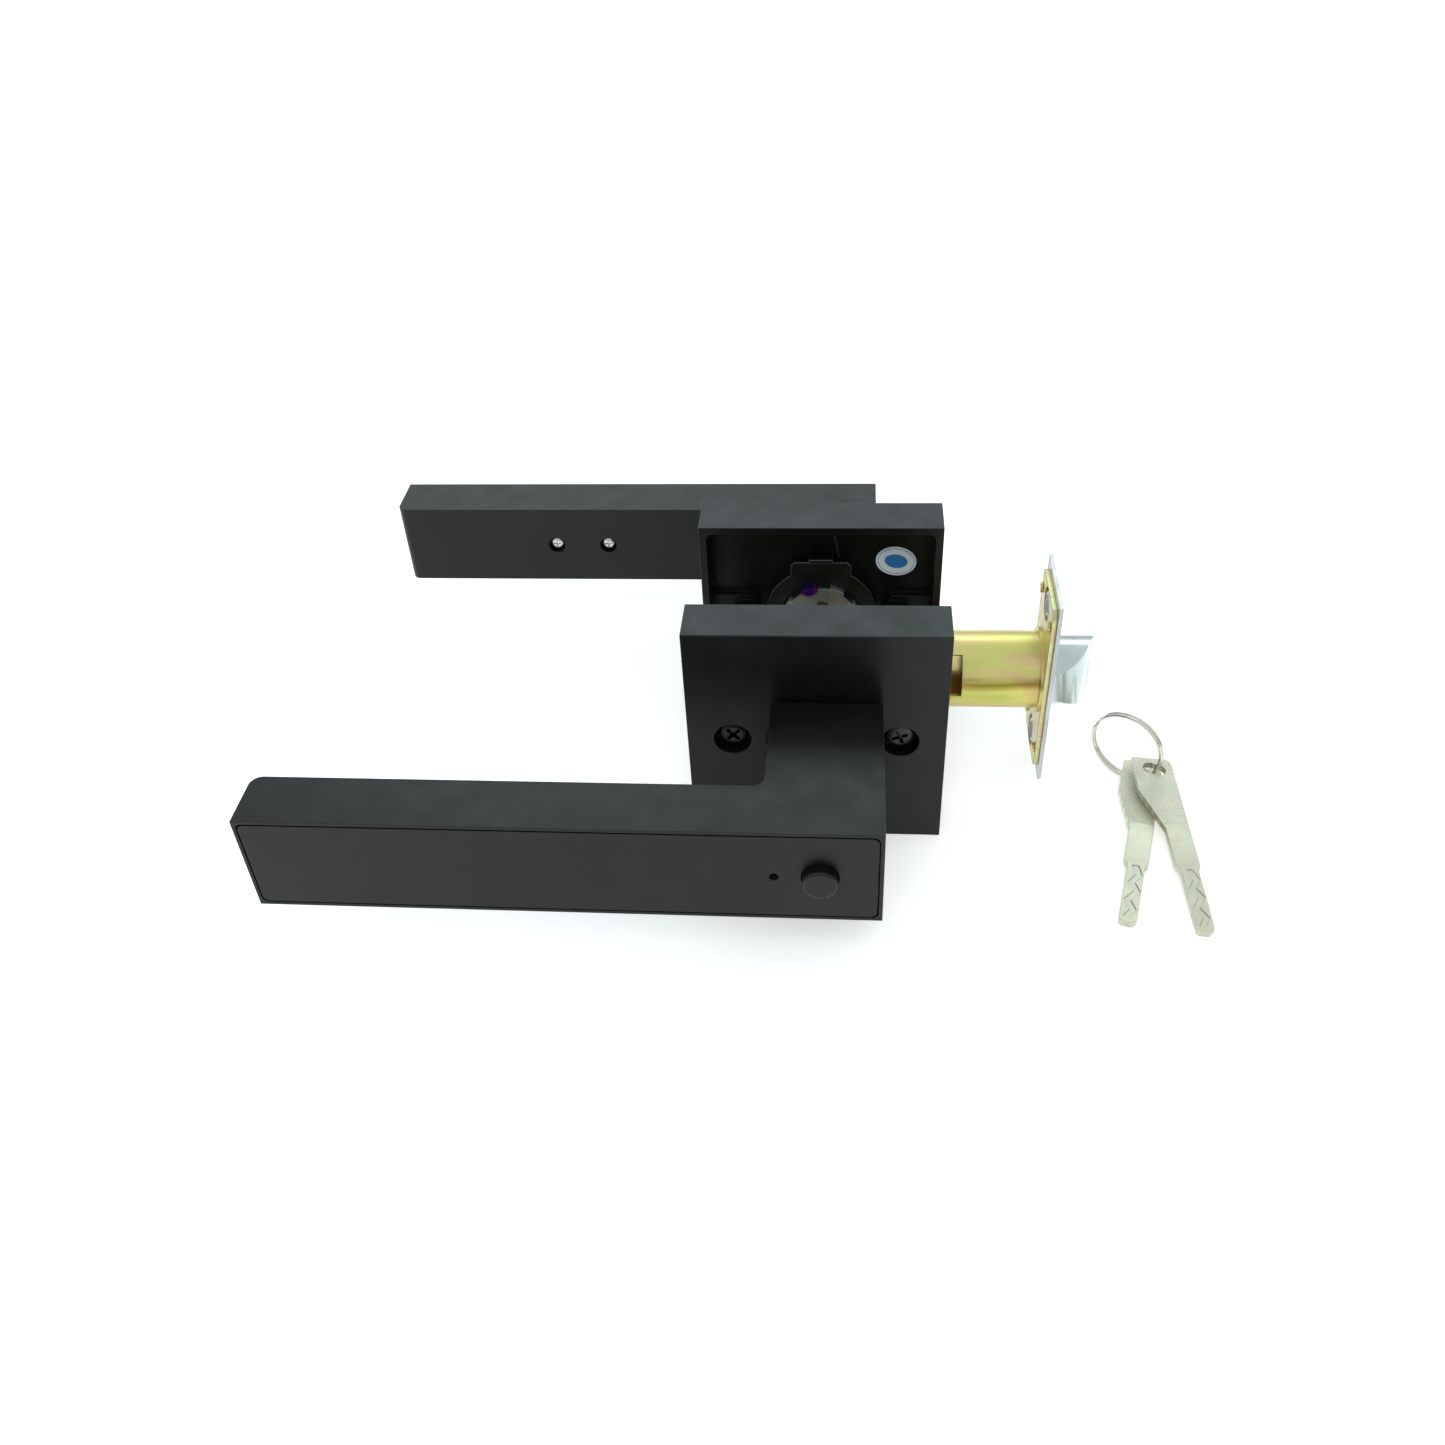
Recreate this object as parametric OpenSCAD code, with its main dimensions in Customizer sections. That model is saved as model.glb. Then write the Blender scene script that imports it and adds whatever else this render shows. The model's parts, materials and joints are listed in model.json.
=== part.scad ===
// Square-rose lever lock: battery lever inside, keypad lever outside, tubular latch, two keys.
// +X points to the door's edge, +Y from the inside of the door to the outside, +Z up.
// The origin is on the spindle axis, half way through the door. The set stands without a door
// on the lower edges of its roses, and the keys lie beside it at the same height.

/* [Door] */
// Thickness of the door that the roses clamp
door_t = 35; // [35:1:36]
// Spindle axis to the front of the faceplate
backset = 60.3; // [60:0.1:61]

/* [Roses] */
// Side of each square rose
rose_w = 65; // [64:0.5:68]
// Depth of each rose
rose_d = 13; // [13:0.5:14]
// Thickness of the rose's side walls
rose_wall = 2; // [1.8:0.1:2.4]
// Thickness of the rose's face
rose_face = 3; // [2.8:0.1:3.2]
// Half the distance between the two through-bolts
bolt_x = 21; // [20.5:0.1:21.5]

/* [Inside lever] */
// Free end of the inside lever, measured from the spindle
in_reach = 132; // [130:1:140]
// Height of the inside lever
in_h = 27.5; // [27:0.5:29]
// Depth of the inside lever's arm
arm_d = 15.5; // [15.5:0.1:16]
// Distance from the middle of the door to the arm's grip face
in_grip_y = 62.5; // [62:0.5:64]
// Diameter of the round push button
button_d = 8.2; // [7:0.1:9]
// How far the push button stands out of the cover
button_out = 2.8; // [2.2:0.1:3.4]

/* [Outside lever] */
// Free end of the outside lever, measured from the spindle
out_reach = 130; // [128:1:136]
// Height of the outside lever
out_h = 25; // [25:0.5:27]
// Distance from the middle of the door to the outside arm's grip face
out_grip_y = 60; // [59:0.5:62]

/* [Latch] */
// Diameter of the latch tube
tube_d = 20.5; // [20:0.1:21]
// How far the bolt stands out of the faceplate
bolt_out = 11.9; // [11:0.1:12.5]
// Height of the faceplate
plate_h = 56; // [55:0.5:58]
// Width of the faceplate
plate_w = 25; // [24:0.5:26]
// Distance between the faceplate's two screw holes
plate_pitch = 42; // [41:0.5:43]

/* [Keys] */
// Length of each key
key_l = 58.5; // [56:0.5:60]
// Thickness of each key
key_t = 2; // [1.8:0.1:2]
// Diameter of the split ring, to the middle of its wire
ring_d = 19.8; // [19.6:0.1:20]

/* [Hidden] */
$fn = 64;
e = 0.01;                          // lets a cutter pass through the face that it cuts
door = door_t / 2;                 // door face
floor_z = -rose_w / 2;             // the surface that the set stands on
rose_floor = door + rose_d - rose_face; // inner face of a rose's front
rose_front = door + rose_d;
neck_gap = 2;                      // between a rose and its lever
neck_start = rose_front + neck_gap;
neck_x0 = -11;                     // the neck's sides
in_neck_x1 = 16.5;
out_neck_x1 = 15.5;
in_front = in_grip_y + arm_d;      // front face of the inside arm
out_front = out_grip_y + arm_d;
hub_r = 10.9;                      // round hub that turns in the rose
bush_r = 11;
bush_out_r = 12.4;
hub_end = 24;
groove_r = 10.1;
circlip_y = [25.7, 26.5];
plate_y = [24.1, 25.3];            // spring plate
spring_y = [25.5, 27.3];           // return spring
plate_r = 15.6;
spindle_w = 7;
screw_r = 2;
screw_head_r = 3.85;
head_sink = 1.8;                   // bolt head below the rose's face
head_h = 2.2;
pocket_r = 4.75;
post_r = 5.2;
post_end = 14;                     // where the outside rose's posts end
pad_x = 18.8;                      // pads between the outside rose's posts and its sides
pad_half = 5.6;
pad_h = 2;
cross_turn = [45, 20];             // how far each bolt's cross is turned

cover_y0 = in_front - 1.7;         // back of the battery cover
cover_x = [-130.8, 15.2];
cover_half = 12.5;
cover_gap = 0.35;
button_x = 2.2;
pinhole_x = -8.3;
cell_r = 5.25;
cell_l = 44.5;
cell_x0 = -125;
cell_y = 70.35;
cell_z = 5.45;
bay_x = [-129.2, -19];             // battery bay
bay_half = 11.6;
bay_back = 64.2;
board_y = [67.6, 69.2];            // inside circuit board

glass_x = [-126, -15.8];           // keypad glass
glass_half = 10.2;
glass_t = 1.6;
sensor_x = -25.6;
sensor_r = 6.2;
lever_screw_x = [-82, -66];
cyl_r = 8;                         // key cylinder
plug_r = 5.2;
motor_r = 4;

throw = bolt_out - 1.2;            // bolt travel
case_x = [-29.5, 26.5];            // latch case
case_y = 5.5;
case_z = 8.5;
cam_r = 5.6;
tube_r = tube_d / 2;
tube_in_r = tube_r - 0.9;
bolt_r = tube_in_r - 0.15;
plate_t = 1;
back_t = 1.2;
rivet_y = [-8.5, 9];
rivet_z = 20;
back_x = backset - plate_t - back_t;
collar_t = 0.8;
tail_y = [3.2, 4.2];
tail_z = 7.3;

prongs = 8;
prong_r = [9.2, 10.7];
prong_turn = 3.6;                  // from the top to the gap beside it
prong_tip = 22;
ring_floor = 23.2;
dog_r = 8.2;
dog_y = [9, 13.8, 16];             // sleeve, then toothed disc

key_tilt = [1.7, 5.4];             // how far each key's bow is propped up
key_turn = [-14.4, 2.9];           // how each key is turned on the surface
key_hole = [-1.67, key_l - 4.75];   // where the ring passes through the slot in the bow
ring_wire = 1;
ring_at = [83.45, -5.03];
ring_turn = -36;                   // the upright ring's plane
ring_z = floor_z + ring_wire / 2 + ring_d / 2;

black = [0.11, 0.115, 0.12];
steel = [0.72, 0.73, 0.75];
nickel = [0.78, 0.76, 0.71];
zinc_yellow = [0.78, 0.75, 0.36];
brass = [0.80, 0.66, 0.32];

// ---- shared shapes ----

// A block between two corners given as ranges.
module block(x, y, z) {
    translate([x[0], y[0], z[0]])
        cube([x[1] - x[0], y[1] - y[0], z[1] - z[0]]);
}

// Extrudes an outline drawn in X and Z along Y.
module along_y(y) {
    translate([0, y[1], 0])
        rotate([90, 0, 0])
            linear_extrude(y[1] - y[0])
                children();
}

// Extrudes an outline drawn in Y and Z along X.
module along_x(x) {
    translate([x[0], 0, 0])
        rotate([90, 0, 90])
            linear_extrude(x[1] - x[0])
                children();
}

module rod_y(r, y, x = 0, z = 0) {
    along_y(y) translate([x, z]) circle(r);
}

module rod_x(r, x, y = 0, z = 0) {
    along_x(x) translate([y, z]) circle(r);
}

module tube_y(r_in, r_out, y, x = 0, z = 0) {
    along_y(y) translate([x, z]) difference() {
        circle(r_out);
        circle(r_in);
    }
}

// A rectangle between two corners with round corners.
module round_rect(x, z, r) {
    translate([x[0] + r, z[0]]) square([x[1] - x[0] - 2 * r, z[1] - z[0]]);
    translate([x[0], z[0] + r]) square([x[1] - x[0], z[1] - z[0] - 2 * r]);
    for (cx = [x[0] + r, x[1] - r], cz = [z[0] + r, z[1] - r])
        translate([cx, cz]) circle(r);
}

// Everything on the outside is the inside's mirror image through the middle of the door.
module side(s) {
    if (s > 0) children();
    else mirror([0, 1, 0]) children();
}

// The cross recess of a Phillips head whose top is at height h.
module cross_recess(r, h, depth) {
    for (a = [0, 90])
        rotate(a) translate([-r, -0.22 * r, h - depth]) cube([2 * r, 0.44 * r, depth + 1]);
}

// A pan-head screw: the head stands on z = 0 and the shank hangs below it.
module pan_screw(head_r, h, shank_r, shank_l, turn = 0) {
    difference() {
        rotate_extrude()
            polygon([[0, 0], [head_r, 0], [head_r, 0.45 * h], [0.86 * head_r, 0.82 * h],
                [0.6 * head_r, h], [0, h]]);
        rotate(turn) cross_recess(0.55 * head_r, h, 0.6 * h);
    }
    translate([0, 0, -shank_l]) cylinder(r = shank_r, h = shank_l);
}

// ---- roses ----

// A square shell, open towards the door. Its outer back corners are slightly round.
module rose_shell() {
    half = rose_w / 2;
    inner = half - rose_wall;
    difference() {
        along_y([door, rose_front]) square(rose_w, center = true);
        along_y([door - 1, rose_floor]) round_rect([-inner, inner], [-inner, inner], 2);
        rod_y(bush_out_r, [door, rose_front + 1]);
    }
}

module inside_rose() color(black) side(-1) difference() {
    union() {
        rose_shell();
        for (x = [-bolt_x, bolt_x])
            rod_y(post_r, [rose_floor - 7.5, rose_floor + e], x);
    }
    for (x = [-bolt_x, bolt_x]) {
        rod_y(pocket_r, [rose_front - head_sink - head_h, rose_front + 1], x);
        rod_y(screw_r + 0.3, [door, rose_front], x);
    }
}

module outside_rose() color(black) difference() {
    union() {
        rose_shell();
        for (x = [-bolt_x, bolt_x])
            rod_y(post_r - 1, [post_end, rose_floor + e], x);
        along_y([rose_floor - pad_h, rose_floor + e])
            for (x = [[-rose_w / 2 + 1, -pad_x], [pad_x, rose_w / 2 - 1]])
                round_rect(x, [-pad_half, pad_half], 1.8);
    }
    for (x = [-bolt_x, bolt_x])
        rod_y(screw_r + 0.05, [post_end - 1, rose_floor - 1], x);
}

module mounting_screws() color([0.16, 0.16, 0.165])
    for (i = [0, 1])
        translate([(2 * i - 1) * bolt_x, -(rose_front - head_sink - head_h), 0])
            rotate([90, 0, 0])
                pan_screw(screw_head_r, head_h, screw_r,
                    rose_front - head_sink - head_h + post_end + 8, cross_turn[i]);

module bushing() color([0.1, 0.1, 0.1]) {
    tube_y(bush_r, bush_out_r - 0.02, [rose_floor - 0.6, rose_front - 0.3]);
    tube_y(bush_r, bush_out_r + 1.3, [rose_floor - 0.6, rose_floor]);
}

module inside_bushing() side(-1) bushing();
module outside_bushing() bushing();

// The stamped plate that keeps the return spring in, with a lobe and a bent tab on top.
module spring_plate() color([0.13, 0.13, 0.14]) {
    lobe = 8.4;
    lobe_top = 17.4;
    tab = 3.2;
    difference() {
        along_y(plate_y) {
            circle(plate_r);
            polygon([[-lobe, 8], [lobe, 8], [lobe, lobe_top - 1.2], [lobe - 1.2, lobe_top],
                [1.2 - lobe, lobe_top], [-lobe, lobe_top - 1.2]]);
            translate([-tab, lobe_top - 1]) square([2 * tab, 3.4]);
        }
        rod_y(hub_r + 0.3, [plate_y[0] - 1, plate_y[1] + 1]);
    }
    block([-tab, tab], [plate_y[0] - 2.4, plate_y[0] + e], [lobe_top + 1.2, lobe_top + 2.4]);
}

module inside_spring_plate() side(-1) spring_plate();
module outside_spring_plate() spring_plate();

module return_spring() color(steel) {
    pitch = (spring_y[1] - spring_y[0]) / 2;
    for (i = [0, 1])
        tube_y(14.0, 14.85, [spring_y[0] + i * pitch, spring_y[0] + (i + 0.97) * pitch]);
}

module inside_return_spring() side(-1) return_spring();
module outside_return_spring() return_spring();

module circlip() color([0.3, 0.3, 0.31]) difference() {
    tube_y(groove_r + 0.02, 12.3, circlip_y);
    block([-1.6, 1.6], [circlip_y[0] - 1, circlip_y[1] + 1], [-14, 0]);
}

module inside_circlip() side(-1) circlip();
module outside_circlip() circlip();

module inspection_sticker() color("white")
    along_y([rose_floor - 0.2, rose_floor]) translate([20.6, 15.9]) rotate(-10)
        round_rect([-5.5, 5.5], [-4.6, 4.6], 4.5);

// Two thin wires that leave each half under its spring plate and cross the door below the latch.
// The route is in Y and Z, and each wire is swept along it at a constant X.
wire_path = [[26.6, -17.9], [26.2, -19.6], [25, -20.9], [23, -21.4], [21, -20.8], [18.5, -19],
    [15.5, -17], [12, -15.8], [6, -15.4], [0, -15.3], [-6, -15.4], [-12, -15.8], [-15.5, -17],
    [-18.5, -19], [-21, -20.8], [-23, -21.4], [-25, -20.9], [-26.2, -19.6], [-26.6, -17.9]];

// Points around the wire at each stop of its route, then the faces that join them.
module swept_wire(x, r, sides) {
    n = len(wire_path);
    rings = [for (i = [0 : n - 1])
        let (a = wire_path[max(i - 1, 0)], b = wire_path[min(i + 1, n - 1)], t = (b - a) / norm(b - a))
        for (k = [0 : sides - 1])
            let (u = r * cos(k * 360 / sides), v = r * sin(k * 360 / sides))
            [x + u, wire_path[i][0] - v * t[1], wire_path[i][1] + v * t[0]]];
    walls = [for (i = [0 : n - 2], k = [0 : sides - 1])
        let (j = (k + 1) % sides)
        [i * sides + k, i * sides + j, (i + 1) * sides + j, (i + 1) * sides + k]];
    polyhedron(rings, concat([[for (k = [sides - 1 : -1 : 0]) k]], walls,
        [[for (k = [0 : sides - 1]) (n - 1) * sides + k]]), convexity = 6);
}

module wire_harness() color([0.1, 0.1, 0.1])
    for (x = [4.2, 5.6])
        swept_wire(x, 0.5, 8);

// ---- inside lever ----

// Seen from above: the arm, the neck and a small fillet between them.
module lever_outline(reach, grip, front, neck_x1, r_end) {
    fillet = 2.75;
    translate([-reach + r_end, grip]) square([reach - r_end + neck_x1, front - grip]);
    translate([-reach, grip + r_end]) square([r_end + e, front - grip - r_end]);
    translate([-reach + r_end, grip + r_end]) circle(r_end);
    translate([neck_x0, neck_start]) square([neck_x1 - neck_x0, front - neck_start]);
    difference() {
        translate([neck_x0 - fillet, grip - fillet]) square(fillet + e);
        translate([neck_x0 - fillet, grip - fillet]) circle(fillet);
    }
}

module lever_hub() {
    rod_y(hub_r, [hub_end, neck_start + e]);
}

module hub_groove() {
    tube_y(groove_r, hub_r + 1, [circlip_y[0] - 0.05, circlip_y[1] + 0.05]);
}

module inside_lever() color(black) side(-1) difference() {
    union() {
        translate([0, 0, -in_h / 2]) linear_extrude(in_h)
            lever_outline(in_reach, in_grip_y, in_front, in_neck_x1, 3);
        lever_hub();
    }
    hub_groove();
    // recess for the battery cover
    along_y([cover_y0 - 0.2, in_front + 1])
        round_rect([cover_x[0] - cover_gap, cover_x[1] + cover_gap],
            [-cover_half - cover_gap, cover_half + cover_gap], 1.6);
    // battery bay, then the bay for the circuit board and the hollow neck behind it
    block(bay_x, [bay_back, in_front], [-bay_half, bay_half]);
    block([-17, 13.8], [bay_back, in_front], [-bay_half, bay_half]);
    block([-8.6, 13.8], [46, in_front], [-bay_half, bay_half]);
    along_y([hub_end - 1, 47]) square(spindle_w + 0.1, center = true);
}

module battery_cover() color(black) side(-1) {
    difference() {
        along_y([cover_y0, in_front]) round_rect(cover_x, [-cover_half, cover_half], 1.5);
        rod_y(button_d / 2 + 0.25, [cover_y0 - 1, in_front + 1], button_x);
        rod_y(1.1, [cover_y0 - 1, in_front + 1], pinhole_x);
    }
    // spring clips that hold the cover in the bays
    for (x = [-16.6, 11.4], s = [-1, 1])
        block([x, x + 2], [cover_y0 - 2.6, cover_y0 + e],
            [s > 0 ? 10.3 : -11.4, s > 0 ? 11.4 : -10.3]);
}

module battery_tray() color([0.12, 0.12, 0.12]) side(-1) difference() {
    block([-128.9, -20.5], [bay_back + 0.1, 75.9], [-11.5, 11.5]);
    block([-128.1, -21.3], [bay_back + 0.8, 77], [-10.75, 10.75]);
}

// Cells are numbered from the free end, upper row first.
module battery(i) side(-1) {
    x = cell_x0 + floor((i - 1) / 2) * (cell_l + 0.3);
    z = i % 2 == 1 ? cell_z : -cell_z;
    color([0.55, 0.56, 0.58]) {
        rod_x(cell_r, [x, x + cell_l - 1.2], cell_y, z);
        rod_x(1.9, [x + cell_l - 1.2 - e, x + cell_l], cell_y, z);
    }
}

module battery_contacts() color(brass) side(-1)
    for (z = [-cell_z, cell_z]) {
        block([-128, -127.6], [66.5, 74.5], [z - 4, z + 4]);
        translate([0, cell_y, z]) along_x([-127.6, -125.05]) difference() {
            circle(3);
            circle(2.5);
        }
        block([-35.15, -34.6], [66.5, 74.5], [z - 4, z + 4]);
    }

module inside_board() color([0.05, 0.30, 0.16]) side(-1) {
    difference() {
        along_y(board_y) round_rect([-16.6, 13.4], [-10.2, 10.2], 1);
        for (x = [-14.6, 11.4], z = [-8.2, 8.2])
            rod_y(0.9, [board_y[0] - 1, board_y[1] + 1], x, z);
    }
    // push switch, reset switch, processor and wire connector
    block([button_x - 3, button_x + 3], [board_y[1], 70.4], [-3, 3]);
    rod_y(1.6, [70.4 - e, 70.9], button_x);
    block([pinhole_x - 2, pinhole_x + 2], [board_y[1], 70.6], [-2, 2]);
    block([-6, 2], [board_y[0] - 1.4, board_y[0]], [-4, 4]);
    block([4, 10], [board_y[0] - 4, board_y[0]], [-7, -3]);
}

module privacy_button() color(black) side(-1) {
    top = in_front + button_out;
    difference() {
        rotate([-90, 0, 0]) translate([button_x, 0, 0]) rotate_extrude() polygon([
            [0, 75.4], [button_d / 2, 75.4], [button_d / 2, top - 0.5],
            [button_d / 2 - 0.5, top], [0, top]]);
        rod_y(2.9, [73, 75], button_x);
    }
    rod_y(5.3, [74.5, 75.5], button_x);
    rod_y(1.7, [73.1, 74.6], button_x);
}

module button_spring() color(steel) side(-1)
    for (i = [0 : 3])
        tube_y(4.35, 4.9, [69.3 + 1.28 * i, 69.3 + 1.28 * i + 0.7], button_x);

module reset_plunger() color([0.8, 0.8, 0.78]) side(-1) {
    rod_y(0.85, [71.2, 75.9], pinhole_x);
    rod_y(1.6, [71.2, 71.9], pinhole_x);
}

module spindle() color(steel) difference() {
    along_y([-48, 19]) square(spindle_w, center = true);
    rod_y(1.75, [8, 20]);
}

// ---- latch ----

module latch_tube() color(zinc_yellow) difference() {
    union() {
        rod_x(tube_r, [case_x[1], back_x]);
        rod_x(tube_r + 1.1, [back_x - collar_t, back_x]);
    }
    rod_x(tube_in_r, [case_x[1] - 1, back_x + 1]);
    // window in the side of the tube, and a notch under it
    block([33, 37.4], [-12, -3.5], [-1.5, 8.6]);
    block([37, 39.2], [-2.2, 2.2], [-12, -7]);
}

module latch_case() color(zinc_yellow) difference() {
    block(case_x, [-case_y, case_y], [-case_z, case_z]);
    block([case_x[0] + 1, case_x[1] + 1], [1 - case_y, case_y - 1], [1 - case_z, case_z - 1]);
    for (x = [-bolt_x, bolt_x])
        rod_y(2.6, [-case_y - 1, case_y + 1], x);
    rod_y(cam_r + 0.08, [-case_y - 1, case_y + 1]);
}

// A screw hole's countersink is pressed through the backing plate's larger hole.
module latch_backplate() color(zinc_yellow) difference() {
    along_x([back_x, back_x + back_t]) round_rect([-11, 11], [-25.5, 25.5], 2.5);
    rod_x(tube_in_r + 0.1, [back_x - 1, backset]);
    for (s = [-1, 1]) {
        rod_x(4.4, [back_x - 1, backset], 0, s * plate_pitch / 2);
        for (y = rivet_y) rod_x(0.8, [back_x - 1, backset], y, s * rivet_z);
    }
}

module latch_faceplate() color(steel) difference() {
    union() {
        along_x([backset - plate_t, backset])
            square([plate_w, plate_h], center = true);
        for (s = [-1, 1])
            translate([backset - plate_t - 1.1, 0, s * plate_pitch / 2]) rotate([0, 90, 0])
                cylinder(r1 = 3, r2 = 4.2, h = 1.1 + e);
    }
    rod_x(tube_in_r + 0.1, [back_x - 1, backset + 1]);
    for (s = [-1, 1]) {
        rod_x(2.4, [back_x - 2, backset + 1], 0, s * plate_pitch / 2);
        translate([backset - 1.4, 0, s * plate_pitch / 2]) rotate([0, 90, 0])
            cylinder(r1 = 2.4, r2 = 4.2, h = 1.4 + e);
        for (y = rivet_y) rod_x(0.8, [backset - 3, backset + 1], y, s * rivet_z);
    }
}

module faceplate_rivets() color(brass)
    for (y = rivet_y, s = [-1, 1]) {
        rod_x(0.8, [back_x - e, backset - 0.1], y, s * rivet_z);
        rod_x(1.4, [back_x - 0.7, back_x], y, s * rivet_z);
    }

module latch_cam() color(steel) difference() {
    union() {
        rod_y(cam_r, [-case_y - 0.3, case_y + 0.3]);
        block([-1.4, 1.4], [-2.8, 2.8], [4, 7.2]);
    }
    along_y([-case_y - 1, case_y + 1]) square(spindle_w + 0.1, center = true);
}

module latch_springs() color(steel)
    for (z = [-5, 5], i = [0 : 6])
        translate([0, 0, z]) along_x([-28.3 + 1.85 * i, -28.3 + 1.85 * i + 1.2]) difference() {
            circle(1.8);
            circle(1.3);
        }

// A fork whose two sides straddle the cam, with slots for the hub and the through-bolts.
module bolt_tail() color(brass) {
    for (s = [-1, 1])
        side(s) difference() {
            block([-15, 44], tail_y, [-tail_z, tail_z]);
            along_y([tail_y[0] - 1, tail_y[1] + 1]) {
                round_rect([-cam_r - 0.4, cam_r + 0.4 + throw], [-5.95, 5.95], 5.9);
                round_rect([bolt_x - 2.5, bolt_x + 2.5 + throw], [-2.6, 2.6], 2.5);
                translate([-16, -2.6]) square([16 + 2.5 + throw - bolt_x, 5.2]);
            }
        }
    for (s = [-1, 1])
        block([-15, -14], [-tail_y[1], tail_y[1]], [s > 0 ? 2.7 : -tail_z, s > 0 ? tail_z : -2.7]);
    rod_y(0.6, [-tail_y[0] - 0.5, tail_y[0] + 0.5], -2.3, 6.62);
    block([41.5, 44], [-tail_y[1], tail_y[1]], [-tail_z, tail_z]);
}

module latch_bolt() color(steel) intersection() {
    rod_x(bolt_r, [44, backset + bolt_out]);
    // the slope that rides over the strike faces the inside of the door: an arc, then a flat
    translate([backset, 0, -12]) linear_extrude(24) {
        translate([0.7, 1.06]) circle(9.19, $fn = 96);
        polygon([[-17, -10], [0.4, -10], [0.4, -2.4], [9.21, -2.4],
            [bolt_out, (bolt_out - 9.21) / 0.407 - 2.4], [bolt_out, 10], [-17, 10]]);
    }
}

// ---- outside lever ----

module outside_lever() color(black) difference() {
    union() {
        translate([0, 0, -out_h / 2]) linear_extrude(out_h)
            lever_outline(out_reach, out_grip_y, out_front, out_neck_x1, 2.5);
        lever_hub();
    }
    hub_groove();
    // recess and bay for the keypad
    along_y([out_front - glass_t, out_front + 1])
        round_rect([glass_x[0] - 0.2, glass_x[1] + 0.2], [-glass_half - 0.2, glass_half + 0.2], 1.6);
    block([-124.2, -17.6], [64, out_front], [-9.2, 9.2]);
    for (x = lever_screw_x) {
        rod_y(2.55, [out_grip_y - 1, out_grip_y + 2.2], x);
        rod_y(1.35, [out_grip_y, 65], x);
    }
    // key cylinder, hollow neck, motor and clutch screw
    rod_y(cyl_r + 0.05, [52, out_front + 1]);
    block([-8.6, 13], [47, out_front - 2.2], [-10, 10]);
    block([-18, 0], [66, 70], [-4, 4]);
    rod_y(motor_r + 0.1, [36, 48]);
    rod_y(2.1, [hub_end - 1, 37]);
}

module keypad_glass() color([0.02, 0.02, 0.025]) difference() {
    along_y([out_front - glass_t + 0.05, out_front])
        round_rect(glass_x, [-glass_half, glass_half], 1.5);
    rod_y(sensor_r + 0.1, [out_front - 3, out_front + 1], sensor_x);
}

module keypad_frame() color([0.08, 0.08, 0.08]) {
    difference() {
        block([-124, -17.8], [70.4, out_front - glass_t], [-9, 9]);
        block([-122.8, -19], [69, out_front], [-7.8, 7.8]);
    }
    for (x = lever_screw_x)
        tube_y(1.05, 2.6, [64.05, 70.45], x, 0);
    for (x = lever_screw_x)
        block([x - 2, x + 2], [70.2, 70.9], [-9, 9]);
}

module keypad_board() color([0.05, 0.30, 0.16]) {
    along_y([71.2, 72.4]) round_rect([-122.6, -32.4], [-7.6, 7.6], 1);
    for (i = [0 : 4], z = [-3.9, 3.9])
        rod_y(2.6, [72.4 - e, 73.4], -113 + 18.4 * i, z);
    block([-60, -50], [69.4, 71.2], [-4, 4]);
}

module fingerprint_sensor() color([0.05, 0.05, 0.055]) {
    rod_y(sensor_r, [71.2, out_front - 0.35], sensor_x);
    difference() {
        rod_y(sensor_r, [out_front - 1, out_front + 0.15], sensor_x);
        rod_y(sensor_r - 0.8, [out_front - 0.4, out_front + 1], sensor_x);
    }
}

module lever_screws() color(steel)
    for (x = lever_screw_x)
        translate([x, out_grip_y + 2.2, 0]) rotate([90, 0, 0])
            pan_screw(2, 1.3, 1, 6);

module key_cylinder() color(nickel) difference() {
    rod_y(cyl_r, [52.2, out_front + 0.2]);
    rod_y(plug_r, [51, out_front + 1]);
}

module key_plug() color(nickel) difference() {
    union() {
        rod_y(plug_r - 0.05, [52.4, out_front + 0.2]);
        rod_y(2, [49.5, 52.5]);
    }
    // keyway
    block([-2.5, 2.5], [54.5, out_front + 1], [-1.1, 1.1]);
    tube_y(4.2, 4.5, [out_front - 0.2, out_front + 1]);
}

// A cup on the end of the outside lever's hub, with axial prongs around its rim.
module clutch_ring() color([0.62, 0.63, 0.66]) difference() {
    rod_y(prong_r[1], [prong_tip, hub_end]);
    rod_y(prong_r[0] - 0.8, [prong_tip - 1, ring_floor]);
    along_y([ring_floor - 1, hub_end + 1]) square(spindle_w + 0.4, center = true);
    for (i = [0 : prongs - 1])
        rotate([0, prong_turn + i * 360 / prongs, 0]) {
            block([8, 12], [prong_tip - 1, ring_floor], [-2.05, 2.05]);
            block([prong_r[0], 12], [ring_floor - e, hub_end + 1], [-2.05, 2.05]);
        }
}

module clutch_motor() color([0.6, 0.6, 0.62]) {
    rod_y(motor_r, [37, 46.6]);
    rod_y(1.6, [46.5, 48.4]);
}

module clutch_screw() color(steel) {
    rod_y(1.3, [12, 36.9]);
    for (i = [0 : 4])
        rod_y(1.55, [13 + 1.2 * i, 13.6 + 1.2 * i]);
}

// The dog slides along the spindle and drops its teeth between the prongs.
module clutch_dog() color(brass) {
    along_y([dog_y[1], dog_y[2]]) difference() {
        union() {
            circle(dog_r);
            for (i = [0 : prongs - 1])
                rotate(i * 360 / prongs - prong_turn) translate([4, -1.5]) square([6.1, 3]);
        }
        square(spindle_w + 0.1, center = true);
    }
    along_y([dog_y[0], dog_y[1]]) difference() {
        circle(6.2);
        square(spindle_w + 0.1, center = true);
    }
}

// ---- keys ----

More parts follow.
